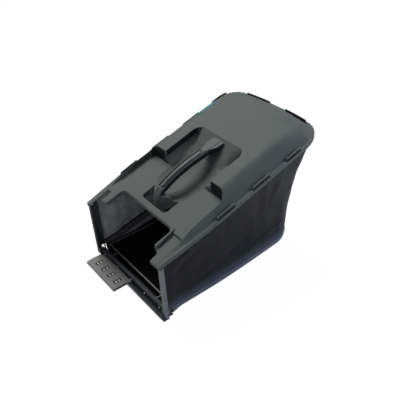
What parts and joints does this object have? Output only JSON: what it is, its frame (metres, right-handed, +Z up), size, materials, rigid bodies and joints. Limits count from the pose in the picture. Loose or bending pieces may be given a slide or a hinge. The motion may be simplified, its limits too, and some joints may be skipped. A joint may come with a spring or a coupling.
{
  "type": "lawn mower grass catcher",
  "caption": "Grass catcher for a walk-behind lawn mower: moulded top cover with a carry handle, cloth bag on a wire loop, and an open mouth frame with a guide tab.",
  "frame": {"origin": "on the ground under the middle of the catcher's overall length and width", "axes": "+Z up, -Y out of the mouth towards the mower, +X to the right seen from the mower's rear towards the mouth's back"},
  "size_m": [0.401, 0.644, 0.4028],
  "materials": {
    "cover_plastic": "satin grained grey-green",
    "grip_plastic": "satin",
    "insert_plastic": "satin, lighter",
    "frame_plastic": "matt black",
    "tab_plastic": "satin",
    "rivet_metal": "dull",
    "wire_metal": "dark coated",
    "bag_cloth": "woven, nearly black",
    "base_cloth": "coated, blue-grey",
    "clip_plastic": "satin, nearly black",
    "strip_colour": "teal"
  },
  "bodies": {
    "root": {"top_cover": "cover_plastic", "carry_handle": "grip_plastic", "grip_insert": "insert_plastic", "left_post": "frame_plastic", "right_post": "frame_plastic", "front_sill": "frame_plastic", "guide_tab": "tab_plastic", "sill_rivet_1": "rivet_metal", "sill_rivet_2": "rivet_metal", "sill_rivet_3": "rivet_metal", "sill_rivet_4": "rivet_metal", "sill_rivet_5": "rivet_metal", "left_foot_cap": "frame_plastic", "right_foot_cap": "frame_plastic", "left_batten": "frame_plastic", "right_batten": "frame_plastic", "bag_wall": "bag_cloth", "bag_base": "base_cloth", "wire_frame": "wire_metal", "bag_clip_left_1": "clip_plastic", "bag_clip_left_2": "clip_plastic", "bag_clip_left_3": "clip_plastic", "bag_clip_left_4": "clip_plastic", "bag_clip_rear_1": "clip_plastic", "bag_clip_rear_2": "clip_plastic", "bag_clip_right_1": "clip_plastic", "bag_clip_right_2": "clip_plastic", "bag_clip_right_3": "clip_plastic", "side_strip": "strip_colour"}
  },
  "joints": []
}
